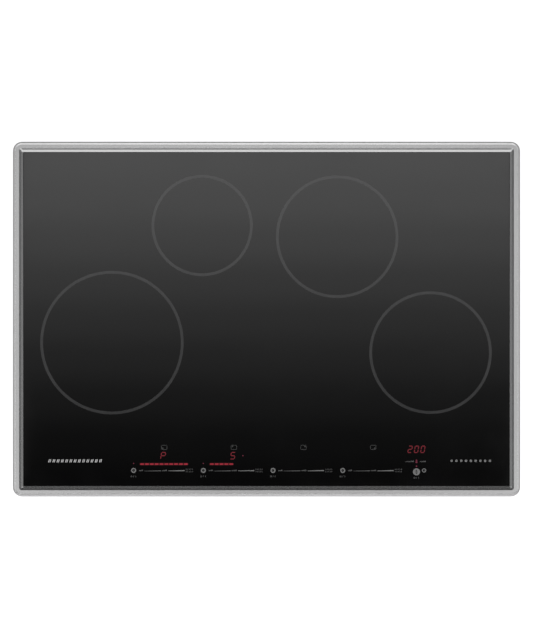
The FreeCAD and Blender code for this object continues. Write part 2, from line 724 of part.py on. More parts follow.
def coil_springs():
    """Three compression springs under each coil, which press it up against the glass."""
    low, high = size(TRAY_TOP), size(CARRIER_LOW)
    wire, radius = size("spring_wire"), size("spring_radius")
    height = high - low - 2 * wire - 0.1
    helix = Part.makeHelix(height / size("spring_turns"), height, radius)
    start = helix.Vertexes[0].Point
    flats = 8
    angles = [2 * math.pi * k / flats for k in range(flats)]
    corners = [start + Vector(wire * math.cos(a), 0, wire * math.sin(a)) for a in angles]
    section = Part.makePolygon(corners + corners[:1])
    spring = Part.Wire(helix).makePipeShell([section], True, True)
    base = low + wire + 0.05
    places = []
    for x, y, outer, bars in COILS.values():
        places += [Placement(Vector(x, y, base) + s, Rotation()) for s in spring_spots(bars, outer)]
    copies("coil_springs", spring, places)


def sensors_and_mica():
    """Sprung temperature sensor at each coil's centre, and the insulating disc under the glass."""
    body = new_body("sensor_pin")
    half = new_sketch(body, "0", "XZ_Plane")
    polygon(half, [("0", TRAY_TOP), ("4", TRAY_TOP), ("4", f"{TRAY_TOP} + 2"), ("2.5", f"{TRAY_TOP} + 2"),
                   ("2.5", f"{GLASS_LOW} - 5"), ("sensor_radius", f"{GLASS_LOW} - 5"),
                   ("sensor_radius", GLASS_LOW), ("0", GLASS_LOW)])
    revolve(body, half)
    centres = [Placement(Vector(x, y, 0), Rotation()) for x, y, outer, bars in COILS.values()]
    copies("temperature_sensors", body.Shape.copy(), centres)
    discs = new_body("mica_discs")
    plan = new_sketch(discs, f"{GLASS_LOW} - mica_thick")
    for x, y, outer, bars in COILS.values():
        circle(plan, f"{x}", f"{y}", f"{outer + 1}")
        circle(plan, f"{x}", f"{y}", "sensor_radius + 1")
    pad(discs, plan, "mica_thick")
    return body


# ---- touch controls ----

def touch_controls():
    """Plastic carrier on four legs, its circuit board, the touch pads and the lamps under the glass."""
    body = new_body("control_carrier")
    tray = new_sketch(body, "touch_floor")
    rounded(tray, "touch_left", "touch_front", "touch_right", "touch_rear", "3")
    pad(body, tray, "touch_rim")
    well = new_sketch(body, "touch_floor + touch_rim")
    rounded(well, "touch_left + touch_wall", "touch_front + touch_wall", "touch_right - touch_wall",
            "touch_rear - touch_wall", "1.5")
    pocket(body, well, "touch_rim - touch_wall")
    notch = new_sketch(body, "touch_floor + touch_rim")
    rectangle(notch, "-14", "touch_rear - touch_wall - 0.5", "14", "touch_rear + 1")
    pocket(body, notch, "touch_rim - touch_wall")
    legs = new_sketch(body, "touch_floor")
    for x in ("touch_left + 7", "-60", "90", "touch_right - 7"):
        circle(legs, x, "(touch_front + touch_rear) / 2 + 12", "4")
    pad(body, legs, f"touch_floor - {FLOOR}", down=True)

    body = new_body("touch_board")
    board = new_sketch(body, "touch_floor + touch_wall")
    rounded(board, "touch_left + touch_wall + 0.5", "touch_front + touch_wall + 0.5",
            "touch_right - touch_wall - 0.5", "touch_rear - touch_wall - 0.5", "1")
    pad(body, board, "board_thick")

    pads, digits, bars = new_body("touch_pads"), new_body("display_modules"), new_body("led_bars")
    dots = new_sketch(pads, TOUCH_FACE)
    boxes = new_sketch(digits, TOUCH_FACE)
    strips = new_sketch(bars, TOUCH_FACE)
    for zone in range(4):
        key = f"(key_left + {zone} * key_pitch)"
        circle(dots, key, "key_row", "3.2")
        for step in range(8):
            circle(dots, f"{key} + 18 + {step} * 9", "key_row", "3.2")
        digit = f"({key} + digit_offset)"
        rectangle(boxes, f"{digit} - 6", "digit_row - 8", f"{digit} + 6", "digit_row + 8")
        rectangle(strips, f"{key} + 8", "lamp_row - 2.5", f"{key} + 84", "lamp_row + 2.5")
    circle(dots, "timer_x", "key_row - 0.5", "3.6")
    circle(dots, "timer_x + 11.5", "key_row", "2.6")
    rectangle(boxes, "timer_x - 18", "timer_row - 8", "timer_x + 18", "timer_row + 8")
    pad(pads, dots, f"{GLASS_LOW} - {TOUCH_FACE}")
    pad(digits, boxes, "6.6")
    pad(bars, strips, "6.6")


def ribbon_cable():
    """Flat cable from the touch board back and down to the filter board."""
    body = new_body("ribbon_cable")
    side_view = new_sketch(body, "-12", "YZ_Plane")
    over, under = f"{TOUCH_FACE} + ribbon_thick", f"{BOARD_TOP} + ribbon_thick"
    start, end = "touch_rear - 10", "filter_front + 12"
    polygon(side_view, [
        (start, TOUCH_FACE), ("ribbon_fall", TOUCH_FACE), ("ribbon_landing", BOARD_TOP), (end, BOARD_TOP),
        (end, under), ("ribbon_landing + 0.5", under), ("ribbon_fall + 0.5", over), (start, over)])
    pad(body, side_view, "24")


# ---- worktop clamps ----

def clamps():
    """Four clamps: a guide on the side wall, a captive screw, a nut that climbs it and a swinging claw."""
    axis, rod = "clamp_axis", "clamp_rod"
    guide = new_body("clamp_guide")
    plate = new_sketch(guide, "lug_low")
    rectangle(plate, "0", "-lug_width / 2", "1.2", "lug_width / 2")
    pad(guide, plate, "lug_high + lug_thick - lug_low")
    for level in ("lug_low", "lug_high"):
        lug = new_sketch(guide, level)
        rounded(lug, "0.2", "-lug_width / 2", "clamp_axis + 6.5", "lug_width / 2", "3")
        pad(guide, lug, "lug_thick")
    hole = new_sketch(guide, "lug_high + lug_thick")
    circle(hole, axis, "0", f"{rod} + clamp_play")
    pocket(guide, hole, "lug_high + lug_thick - lug_low")

    places = []
    for name, (side, end) in CLAMPS.items():
        turn = 0 if side > 0 else 180
        spot = (f"{side} * pan_width / 2", f"{end} * clamp_y", "0", turn)
        where = Vector(size(spot[0]), size(spot[1]), 0)
        places.append(Placement(where, Rotation(Vector(0, 0, 1), turn)))

        screw = new_body(f"clamp_screw_{name}")
        shank = new_sketch(screw, "lug_low - 0.3")
        circle(shank, axis, "0", rod)
        pad(screw, shank, "lug_high + lug_thick - lug_low + 1.8")
        head = new_sketch(screw, "lug_low - 0.3")
        circle(head, axis, "0", "4.5")
        knob = pad(screw, head, "3", down=True)
        foot = size("lug_low - 3.3")
        round_off(screw, knob, "Fillet", lambda p: abs(p.z - foot) < 1e-6, "0.8")
        cross = new_sketch(screw, "lug_low - 3.3")
        polygon(cross, [(f"clamp_axis + ({a})", f"{b}") for a, b in (
            (-3, -0.5), (-0.5, -0.5), (-0.5, -3), (0.5, -3), (0.5, -0.5), (3, -0.5),
            (3, 0.5), (0.5, 0.5), (0.5, 3), (-0.5, 3), (-0.5, 0.5), (-3, 0.5))])
        pocket(screw, cross, "1.8", forward=True)
        clip = new_sketch(screw, "lug_high + lug_thick + 0.3")
        circle(clip, axis, "0", "3.8")
        pad(screw, clip, "0.8")
        place(screw, *spot)

        nut = new_body(f"clamp_nut_{name}")
        block = new_sketch(nut, "claw_level - nut_height")
        rectangle(block, "1.5", "-4.5", "clamp_axis + 4.5", "4.5")
        circle(block, axis, "0", f"{rod} + clamp_play")
        pad(nut, block, "nut_height - 0.1")
        place(nut, *spot)

        claw = new_body(f"clamp_claw_{name}")
        arm = new_sketch(claw, "claw_level")
        rounded(arm, f"{axis} - 5", "-5", f"{axis} + 5", "claw_reach", "4.2")
        plate = pad(claw, arm, "claw_thick")
        tip = new_sketch(claw, "claw_level + claw_thick")
        rectangle(tip, f"{axis} - 4", "claw_reach - 6", f"{axis} + 4", "claw_reach - 4.8")
        tooth = pad(claw, tip, "1.2")
        row_of(claw, tooth, "Y_Axis", "3.6", "2")
        bore = new_sketch(claw, "claw_level + claw_thick")
        circle(bore, axis, "0", f"{rod} + clamp_play")
        pocket(claw, bore, "claw_thick")
        place(claw, *spot)
    copies("clamp_guides", guide.Shape.copy(), places)
    return guide


# ---- fasteners ----

def case_screws():
    """Pan-to-ring, tray and mains-cover screws: domed heads with a cross recess."""
    body = new_body("screw")
    shank = new_sketch(body, "-0.01")
    circle(shank, "0", "0", "tapped_hole - 0.05")
    pad(body, shank, "1.61")
    head = new_sketch(body, "0")
    circle(head, "0", "0", "3.4")
    cap = pad(body, head, "1.8", down=True)
    round_off(body, cap, "Fillet", lambda p: abs(p.z + 1.8) < 1e-6, "1.1")
    cross = new_sketch(body, "-1.8")
    polygon(cross, [(f"{a}", f"{b}") for a, b in (
        (-1.8, -0.4), (-0.4, -0.4), (-0.4, -1.8), (0.4, -1.8), (0.4, -0.4), (1.8, -0.4),
        (1.8, 0.4), (0.4, 0.4), (0.4, 1.8), (-0.4, 1.8), (-0.4, 0.4), (-1.8, 0.4))])
    pocket(body, cross, "1.1", forward=True)

    upward = Rotation()
    forward = Rotation(Vector(1, 0, 0), 90)
    seat = size("ring_level - pan_sheet")
    places = [Placement(Vector(size(x), size(y), seat), upward) for x, y in case_screw_places()]
    rear = size("pan_depth / 2 + cover_sheet")
    places += [Placement(Vector(size(x), rear, size(z)), forward) for x, z in cover_screw_places()]
    copies("case_screws", body.Shape.copy(), places)
    return body


def main():
    trim_frame()
    support_ring()
    ceramic_glass()
    glass_bond()
    worktop_seal()
    base_pan()
    terminal_cover()
    cable_inlet_bush()
    terminal_block()
    circuit_boards()
    heat_sinks()
    board_parts()
    standoffs()
    fan_housings()
    patterns = [fan_motors()]
    fan_rotors()
    coil_trays()
    coils()
    coil_springs()
    patterns.append(sensors_and_mica())
    touch_controls()
    ribbon_cable()
    patterns.append(clamps())
    patterns.append(case_screws())
    doc.recompute()
    write_parts({p.Name for p in patterns})


def write_parts(pattern_names):
    """Checks every object, then writes each sub-part under its label."""
    for thing in doc.Objects:
        if {"Invalid", "Error"} & set(thing.State):
            raise RuntimeError(f"{thing.Name} failed: {thing.State}")
        if thing.TypeId in ("PartDesign::Pocket", "PartDesign::Pad", "PartDesign::SubtractiveLoft"):
            before = thing.BaseFeature.Shape.Volume if thing.BaseFeature else 0
            if abs(thing.Shape.Volume - before) < 0.01:
                raise RuntimeError(f"{thing.Name} in {thing.getParent().Label} changes nothing")
    os.makedirs("parts", exist_ok=True)
    used = {link for thing in doc.Objects if thing.TypeId == "Part::Compound" for link in thing.Links}
    for thing in doc.Objects:
        whole = thing.TypeId in ("PartDesign::Body", "Part::Feature", "Part::Compound")
        if not whole or thing.Name in pattern_names or thing in used:
            continue
        shape = thing.Shape
        if shape.isNull() or not shape.isValid() or not shape.Solids:
            raise RuntimeError(f"{thing.Label} has no valid solid")
        shape.exportStep(f"parts/{thing.Label}.step")


main()
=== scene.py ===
import math

import bmesh
import bpy
from mathutils import Matrix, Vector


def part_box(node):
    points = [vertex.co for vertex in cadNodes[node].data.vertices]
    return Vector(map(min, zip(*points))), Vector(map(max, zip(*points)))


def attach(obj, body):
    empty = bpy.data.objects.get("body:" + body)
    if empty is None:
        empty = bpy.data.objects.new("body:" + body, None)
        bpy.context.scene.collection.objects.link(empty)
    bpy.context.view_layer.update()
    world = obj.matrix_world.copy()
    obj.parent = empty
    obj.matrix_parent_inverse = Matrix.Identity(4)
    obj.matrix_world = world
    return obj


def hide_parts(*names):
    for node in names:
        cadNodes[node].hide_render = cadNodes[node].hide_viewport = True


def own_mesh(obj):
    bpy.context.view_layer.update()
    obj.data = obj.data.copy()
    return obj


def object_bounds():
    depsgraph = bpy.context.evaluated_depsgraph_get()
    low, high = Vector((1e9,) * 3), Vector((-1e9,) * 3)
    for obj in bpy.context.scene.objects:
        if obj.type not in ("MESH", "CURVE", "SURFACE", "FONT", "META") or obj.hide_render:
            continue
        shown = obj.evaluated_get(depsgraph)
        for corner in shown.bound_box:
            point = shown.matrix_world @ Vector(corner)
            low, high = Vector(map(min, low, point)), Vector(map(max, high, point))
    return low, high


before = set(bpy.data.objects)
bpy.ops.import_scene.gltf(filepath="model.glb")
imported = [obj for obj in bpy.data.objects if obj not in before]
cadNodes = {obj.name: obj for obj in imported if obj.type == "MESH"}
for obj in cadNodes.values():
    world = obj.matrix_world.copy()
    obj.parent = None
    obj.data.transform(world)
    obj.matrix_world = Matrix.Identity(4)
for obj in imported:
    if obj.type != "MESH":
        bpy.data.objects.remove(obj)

scene = bpy.context.scene
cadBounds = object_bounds()
mm = 0.001
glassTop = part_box("ceramic_glass")[1].z
floorLevel = cadBounds[0].z - 0.2 * mm  # just clear of the feet
printLow = glassTop + 0.02 * mm
printHigh = glassTop + 0.06 * mm

print("frame loaded:", len(cadNodes), "nodes")


# camera and studio

camera = {"height": 4.0, "frameHeight": 0.9595, "sensor": 36.0, "centreY": -0.0006}
studio = {
    "floorSize": 40.0, "floorShade": (0.78, 0.78, 0.78), "floorGlow": 0.62, "floorSeen": 0.15,
    "cardHeight": 5.0, "cardSize": 4.6, "cardPower": 2.0, "glassReach": (0.82, 0.95), "lipReach": (1.02, 1.16),
    "boxPlace": (0.0, -2.62, 3.8), "boxSize": (5.0, 1.8), "boxLean": math.radians(37), "boxPower": 1.2,
    "backStart": (0.15, 0.45), "backdropShade": (0.93, 0.93, 0.93),
}
# brightness along the card, front to back: over the glass, beside it, and past the surround
cardOverGlass = [(-2.3, 0.90), (-1.35, 1.0), (-0.85, 0.45), (-0.56, 0.02), (-0.41, 0.045), (-0.27, 0.10),
                 (-0.13, 0.19), (0.0, 0.30), (0.13, 0.44), (0.27, 0.63), (0.40, 0.81), (0.56, 0.93),
                 (0.76, 0.04), (1.20, 0.04), (1.58, 0.88), (2.3, 0.35)]
cardBeside = [(-2.3, 0.60), (-0.56, 0.74), (0.0, 0.44), (0.50, 0.02), (1.0, 0.10), (2.3, 0.30)]
cardPast = [(-2.3, 0.60), (0.0, 0.54), (0.56, 0.40), (2.3, 0.36)]
# brightness of the room from the floor (-1) through the horizon (0) to the zenith (1), and behind the object
roomGlow = [(-1.0, 0.9), (0.0, 1.2), (0.25, 1.3), (0.36, 0.9), (0.50, 0.17), (0.60, 0.11), (0.70, 0.14),
            (0.79, 0.23), (0.86, 0.26), (1.0, 0.25)]
backGlow = [(-1.0, 0.9), (0.0, 1.2), (0.25, 1.2), (0.36, 0.8), (0.50, 0.06), (0.65, 0.045), (0.79, 0.09),
            (1.0, 0.12)]


def makeCamera():
    lens = bpy.data.cameras.new("camera")
    lens.sensor_width = camera["sensor"]
    lens.lens = camera["sensor"] * (camera["height"] - glassTop) / camera["frameHeight"]
    lens.clip_end = 100
    eye = bpy.data.objects.new("camera", lens)
    eye.location = (0, camera["centreY"], camera["height"])
    scene.collection.objects.link(eye)
    scene.camera = eye
    scene.view_settings.view_transform = "Standard"


def flatSheet(name, width, depth, place, lean=0.0):
    bm = bmesh.new()
    bmesh.ops.create_grid(bm, x_segments=1, y_segments=1, size=0.5)
    bmesh.ops.scale(bm, vec=(width, depth, 1), verts=bm.verts)
    bmesh.ops.transform(bm, matrix=Matrix.Translation(place) @ Matrix.Rotation(lean, 4, "X"), verts=bm.verts)
    mesh = bpy.data.meshes.new(name)
    bm.to_mesh(mesh)
    bm.free()
    sheet = bpy.data.objects.new(name, mesh)
    scene.collection.objects.link(sheet)
    return sheet


def mathNode(tree, operation, first, second=None, clamp=False):
    node = tree.nodes.new("ShaderNodeMath")
    node.operation = operation
    node.use_clamp = clamp
    for socket, value in zip(node.inputs, (first, second)):
        if isinstance(value, (int, float)):
            socket.default_value = value
        elif value is not None:
            tree.links.new(value, socket)
    return node.outputs["Value"]


def profileRamp(tree, value, stops):
    # a smooth curve through (place, level) stops
    first, last = stops[0][0], stops[-1][0]
    scale = tree.nodes.new("ShaderNodeMapRange")
    scale.inputs["From Min"].default_value = first
    scale.inputs["From Max"].default_value = last
    tree.links.new(value, scale.inputs["Value"])
    ramp = tree.nodes.new("ShaderNodeValToRGB")
    ramp.color_ramp.interpolation = "EASE"
    points = ramp.color_ramp.elements
    while len(points) < len(stops):
        points.new(0.5)
    for point, (place, level) in zip(points, stops):
        point.position = (place - first) / (last - first)
        point.color = (level, level, level, 1)
    tree.links.new(scale.outputs["Result"], ramp.inputs["Fac"])
    return ramp.outputs["Color"]


def crossFade(tree, value, span, first, second):
    # first below the span, second above it
    step = tree.nodes.new("ShaderNodeMapRange")
    step.interpolation_type = "SMOOTHSTEP"
    step.inputs["From Min"].default_value, step.inputs["From Max"].default_value = span
    tree.links.new(value, step.inputs["Value"])
    fade = tree.nodes.new("ShaderNodeMix")
    fade.data_type = "RGBA"
    tree.links.new(step.outputs["Result"], fade.inputs["Factor"])
    tree.links.new(first, fade.inputs["A"])
    tree.links.new(second, fade.inputs["B"])
    return fade.outputs["Result"]


def makeFloor():
    floor = flatSheet("floor", studio["floorSize"], studio["floorSize"], (0, 0, floorLevel))
    # a light table: it glows a little more towards the eye, so the paper stays white
    paper = bpy.data.materials.new("lightTable")
    paper.use_nodes = True
    tree = paper.node_tree
    shader = tree.nodes["Principled BSDF"]
    shader.inputs["Base Color"].default_value = (*studio["floorShade"], 1)
    shader.inputs["Roughness"].default_value = 0.9
    shader.inputs["Specular IOR Level"].default_value = 0.0
    shader.inputs["Emission Color"].default_value = (1, 1, 1, 1)
    lightPath = tree.nodes.new("ShaderNodeLightPath")
    seen = mathNode(tree, "MULTIPLY", lightPath.outputs["Is Camera Ray"], studio["floorSeen"])
    tree.links.new(mathNode(tree, "ADD", seen, studio["floorGlow"]), shader.inputs["Emission Strength"])
    floor.data.materials.append(paper)


def glowing(name, power):
    material = bpy.data.materials.new(name)
    material.use_nodes = True
    tree = material.node_tree
    tree.nodes.clear()
    emission = tree.nodes.new("ShaderNodeEmission")
    emission.inputs["Strength"].default_value = power
    output = tree.nodes.new("ShaderNodeOutputMaterial")
    tree.links.new(emission.outputs["Emission"], output.inputs["Surface"])
    return material, tree, emission.inputs["Color"]


def makeCards():
    # overhead: a soft gradient that the glass mirrors, with even light beyond it for the surround
    card = flatSheet("overheadCard", studio["cardSize"], studio["cardSize"], (0, 0, studio["cardHeight"]))
    material, tree, colour = glowing("overheadCard", studio["cardPower"])
    axes = tree.nodes.new("ShaderNodeSeparateXYZ")
    tree.links.new(tree.nodes.new("ShaderNodeTexCoord").outputs["Object"], axes.inputs["Vector"])
    outward = mathNode(tree, "ABSOLUTE", axes.outputs["X"])
    overGlass = profileRamp(tree, axes.outputs["Y"], cardOverGlass)
    beside = profileRamp(tree, axes.outputs["Y"], cardBeside)
    past = profileRamp(tree, axes.outputs["Y"], cardPast)
    inner = crossFade(tree, outward, studio["glassReach"], overGlass, beside)
    tree.links.new(crossFade(tree, outward, studio["lipReach"], inner, past), colour)
    card.data.materials.append(material)
    card.visible_camera = False  # it lights and is mirrored, and never stands in a view's way

    # a soft box low in front, which lights the surround's rear slope
    box = flatSheet("frontBox", *studio["boxSize"], studio["boxPlace"], studio["boxLean"])
    box.data.materials.append(glowing("frontBox", studio["boxPower"])[0])
    box.visible_camera = False


def makeRoom():
    world = bpy.data.worlds.new("studio")
    scene.world = world
    world.use_nodes = True
    tree = world.node_tree
    surround = tree.nodes["Background"]
    axes = tree.nodes.new("ShaderNodeSeparateXYZ")
    tree.links.new(tree.nodes.new("ShaderNodeTexCoord").outputs["Generated"], axes.inputs["Vector"])
    room = profileRamp(tree, axes.outputs["Z"], roomGlow)
    behind = profileRamp(tree, axes.outputs["Z"], backGlow)
    tree.links.new(crossFade(tree, axes.outputs["Y"], studio["backStart"], room, behind), surround.inputs["Color"])
    backdrop = tree.nodes.new("ShaderNodeBackground")
    backdrop.inputs["Color"].default_value = (*studio["backdropShade"], 1)
    seen = tree.nodes.new("ShaderNodeLightPath")
    mix = tree.nodes.new("ShaderNodeMixShader")
    tree.links.new(seen.outputs["Is Camera Ray"], mix.inputs["Fac"])
    tree.links.new(surround.outputs["Background"], mix.inputs[1])
    tree.links.new(backdrop.outputs["Background"], mix.inputs[2])
    tree.links.new(mix.outputs["Shader"], tree.nodes["World Output"].inputs["Surface"])


makeCamera()
makeFloor()
makeCards()
makeRoom()
print("camera and studio ready")


# shared surface effects

def newGroup(name, inputs, outputs):
    group = bpy.data.node_groups.new(name, "ShaderNodeTree")
    for label, kind, value in inputs:
        socket = group.interface.new_socket(name=label, in_out="INPUT", socket_type=kind)
        if value is not None:
            socket.default_value = value
    for label, kind in outputs:
        group.interface.new_socket(name=label, in_out="OUTPUT", socket_type=kind)
    start = group.nodes.new("NodeGroupInput")
    end = group.nodes.new("NodeGroupOutput")
    return group, start.outputs, end.inputs


def noiseNode(tree, vector, scale, detail=2.0, roughness=0.5):
    node = tree.nodes.new("ShaderNodeTexNoise")
    node.inputs["Detail"].default_value = detail
    node.inputs["Roughness"].default_value = roughness
    if isinstance(scale, (int, float)):
        node.inputs["Scale"].default_value = scale
    else:
        tree.links.new(scale, node.inputs["Scale"])
    tree.links.new(vector, node.inputs["Vector"])
    return node.outputs["Fac"]


def brushGroup():
    # long fine lines left by a belt: few cells along the line, many across it
    group, given, result = newGroup(
        "brushLines",
        [("Vector", "NodeSocketVector", None), ("Along", "NodeSocketFloat", 12.0),
         ("Across", "NodeSocketFloat", 2600.0)],
        [("Tone", "NodeSocketFloat")])
    stretch = group.nodes.new("ShaderNodeCombineXYZ")
    group.links.new(given["Along"], stretch.inputs["X"])
    group.links.new(given["Across"], stretch.inputs["Y"])
    group.links.new(given["Across"], stretch.inputs["Z"])
    scaled = group.nodes.new("ShaderNodeVectorMath")
    scaled.operation = "MULTIPLY"
    group.links.new(given["Vector"], scaled.inputs[0])
    group.links.new(stretch.outputs["Vector"], scaled.inputs[1])
    fine = noiseNode(group, scaled.outputs["Vector"], 1.0, 2.0, 0.6)
    broad = noiseNode(group, scaled.outputs["Vector"], 0.17, 1.0, 0.5)
    fineShare = mathNode(group, "MULTIPLY", fine, 0.65)
    broadShare = mathNode(group, "MULTIPLY", broad, 0.35)
    group.links.new(mathNode(group, "ADD", fineShare, broadShare), result["Tone"])
    return group


def mottleGroup():
    # cloudy tone with a fine grain over it
    group, given, result = newGroup(
        "mottle",
        [("Vector", "NodeSocketVector", None), ("Cloud", "NodeSocketFloat", 20.0),
         ("Grain", "NodeSocketFloat", 900.0)],
        [("Tone", "NodeSocketFloat"), ("Grain", "NodeSocketFloat")])
    cloud = noiseNode(group, given["Vector"], given["Cloud"], 3.0, 0.55)
    grain = noiseNode(group, given["Vector"], given["Grain"], 2.0, 0.6)
    tone = mathNode(group, "ADD", mathNode(group, "MULTIPLY", cloud, 0.7), mathNode(group, "MULTIPLY", grain, 0.3))
    group.links.new(tone, result["Tone"])
    group.links.new(grain, result["Grain"])
    return group


def spangleGroup():
    # zinc crystals: every cell keeps one tone
    group, given, result = newGroup(
        "spangle",
        [("Vector", "NodeSocketVector", None), ("Cells", "NodeSocketFloat", 90.0)],
        [("Tone", "NodeSocketFloat"), ("Border", "NodeSocketFloat")])
    cells = group.nodes.new("ShaderNodeTexVoronoi")
    group.links.new(given["Vector"], cells.inputs["Vector"])
    group.links.new(given["Cells"], cells.inputs["Scale"])
    cells.inputs["Randomness"].default_value = 1
    tone = group.nodes.new("ShaderNodeSeparateColor")
    group.links.new(cells.outputs["Color"], tone.inputs["Color"])
    haze = noiseNode(group, given["Vector"], 14.0, 3.0, 0.6)
    cellShare = mathNode(group, "MULTIPLY", tone.outputs["Red"], 0.6)
    hazeShare = mathNode(group, "MULTIPLY", haze, 0.4)
    group.links.new(mathNode(group, "ADD", cellShare, hazeShare), result["Tone"])
    group.links.new(cells.outputs["Distance"], result["Border"])
    return group


def smudgeGroup():
    # wiped cloths and fingers: broad soft patches, almost nothing between them
    group, given, result = newGroup(
        "smudges",
        [("Vector", "NodeSocketVector", None), ("Patches", "NodeSocketFloat", 6.0)],
        [("Tone", "NodeSocketFloat")])
    patch = noiseNode(group, given["Vector"], given["Patches"], 4.0, 0.6)
    lifted = mathNode(group, "SUBTRACT", patch, 0.42, clamp=True)
    group.links.new(mathNode(group, "MULTIPLY", lifted, 2.4, clamp=True), result["Tone"])
    return group


effects = {"brush": brushGroup(), "mottle": mottleGroup(), "spangle": spangleGroup(), "smudges": smudgeGroup()}


def newMaterial(name, roughness=0.5, metallic=0.0, specular=0.5, coat=0.0, coatRoughness=0.05):
    material = bpy.data.materials.new(name)
    material.use_nodes = True
    tree = material.node_tree
    shader = tree.nodes["Principled BSDF"]
    shader.inputs["Roughness"].default_value = roughness
    shader.inputs["Metallic"].default_value = metallic
    shader.inputs["Specular IOR Level"].default_value = specular
    shader.inputs["Coat Weight"].default_value = coat
    shader.inputs["Coat Roughness"].default_value = coatRoughness
    place = tree.nodes.new("ShaderNodeTexCoord").outputs["Object"]
    return material, tree, shader, place


def addEffect(tree, effect, vector, **values):
    node = tree.nodes.new("ShaderNodeGroup")
    node.node_tree = effects[effect]
    tree.links.new(vector, node.inputs["Vector"])
    for label, value in values.items():
        node.inputs[label].default_value = value
    return node.outputs


def shade(tree, shader, tone, dark, light, low=0.3, high=0.7):
    ramp = tree.nodes.new("ShaderNodeValToRGB")
    for point, place, colour in zip(ramp.color_ramp.elements, (low, high), (dark, light)):
        point.position = place
        point.color = (*colour, 1)
    tree.links.new(tone, ramp.inputs["Fac"])
    tree.links.new(ramp.outputs["Color"], shader.inputs["Base Color"])


def spreadRoughness(tree, shader, tone, low, high):
    spread = tree.nodes.new("ShaderNodeMapRange")
    spread.inputs["To Min"].default_value = low
    spread.inputs["To Max"].default_value = high
    tree.links.new(tone, spread.inputs["Value"])
    tree.links.new(spread.outputs["Result"], shader.inputs["Roughness"])


def relief(tree, shader, height, depth, strength=0.5):
    bump = tree.nodes.new("ShaderNodeBump")
    bump.inputs["Distance"].default_value = depth
    bump.inputs["Strength"].default_value = strength
    tree.links.new(height, bump.inputs["Height"])
    tree.links.new(bump.outputs["Normal"], shader.inputs["Normal"])


def turned(tree, place, angle=0.0, move=(0, 0, 0)):
    mapping = tree.nodes.new("ShaderNodeMapping")
    mapping.inputs["Rotation"].default_value = (0, 0, angle)
    mapping.inputs["Location"].default_value = move
    tree.links.new(place, mapping.inputs["Vector"])
    return mapping.outputs["Vector"]


# finishes

trimSteel = {
    "dark": (0.548, 0.548, 0.55), "light": (0.572, 0.572, 0.574), "lowRough": 0.22, "highRough": 0.26,
    "along": 5.0, "across": 3400.0, "lineDepth": 0.008 * mm, "lineStrength": 0.06,
}


def stainlessSurround():
    # brushed along each side, with the lines meeting at a mitre in the corners
    material, tree, shader, place = newMaterial("stainlessSurround", metallic=1.0)
    axes = tree.nodes.new("ShaderNodeSeparateXYZ")
    tree.links.new(place, axes.inputs["Vector"])
    low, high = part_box("trim_frame")
    toSide = mathNode(tree, "SUBTRACT", high.x, mathNode(tree, "ABSOLUTE", axes.outputs["X"]))
    toEnd = mathNode(tree, "SUBTRACT", high.y, mathNode(tree, "ABSOLUTE", axes.outputs["Y"]))
    onSide = mathNode(tree, "LESS_THAN", toSide, toEnd)
    lines = {"Along": trimSteel["along"], "Across": trimSteel["across"]}
    alongX = addEffect(tree, "brush", place, **lines)
    alongY = addEffect(tree, "brush", turned(tree, place, math.pi / 2), **lines)
    tone = tree.nodes.new("ShaderNodeMix")
    tree.links.new(onSide, tone.inputs["Factor"])
    tree.links.new(alongX["Tone"], tone.inputs["A"])
    tree.links.new(alongY["Tone"], tone.inputs["B"])
    shade(tree, shader, tone.outputs["Result"], trimSteel["dark"], trimSteel["light"])
    smudge = addEffect(tree, "smudges", place, Patches=9.0)
    wiped = mathNode(tree, "ADD", tone.outputs["Result"], mathNode(tree, "MULTIPLY", smudge["Tone"], 0.35))
    spreadRoughness(tree, shader, wiped, trimSteel["lowRough"], trimSteel["highRough"])
    relief(tree, shader, tone.outputs["Result"], trimSteel["lineDepth"], trimSteel["lineStrength"])
    return material


def brushedSheet(name, dark, light, rough=(0.3, 0.5), angle=0.0, along=14.0, across=1500.0):
    material, tree, shader, place = newMaterial(name, metallic=1.0)
    lines = addEffect(tree, "brush", turned(tree, place, angle), Along=along, Across=across)
    shade(tree, shader, lines["Tone"], dark, light)
    spreadRoughness(tree, shader, lines["Tone"], *rough)
    relief(tree, shader, lines["Tone"], 0.02 * mm, 0.3)
    return material


glassLook = {
    "dark": (0.0010, 0.0010, 0.0011), "light": (0.0016, 0.0016, 0.0017), "lowRough": 0.035, "highRough": 0.10,
}


def blackGlass():
    material, tree, shader, place = newMaterial("blackCeramicGlass", specular=0.5)
    grain = addEffect(tree, "mottle", place, Cloud=30.0, Grain=1400.0)
    shade(tree, shader, grain["Grain"], glassLook["dark"], glassLook["light"])
    smudge = addEffect(tree, "smudges", place, Patches=5.0)
    spreadRoughness(tree, shader, smudge["Tone"], glassLook["lowRough"], glassLook["highRough"])
    return material


def galvanised(name, cells=100.0):
    material, tree, shader, place = newMaterial(name, metallic=1.0)
    zinc = addEffect(tree, "spangle", place, Cells=cells)
    shade(tree, shader, zinc["Tone"], (0.43, 0.44, 0.45), (0.60, 0.61, 0.61), 0.2, 0.8)
    spreadRoughness(tree, shader, zinc["Tone"], 0.30, 0.52)
    relief(tree, shader, zinc["Tone"], 0.03 * mm, 0.25)
    return material


def moulded(name, dark, light, rough=(0.45, 0.65), grain=1600.0, depth=0.03, specular=0.5):
    # fine spark-eroded texture of a moulding
    material, tree, shader, place = newMaterial(name, specular=specular)
    texture = addEffect(tree, "mottle", place, Cloud=35.0, Grain=grain)
    shade(tree, shader, texture["Tone"], dark, light)
    spreadRoughness(tree, shader, texture["Tone"], *rough)
    relief(tree, shader, texture["Grain"], depth * mm, 0.35)
    return material


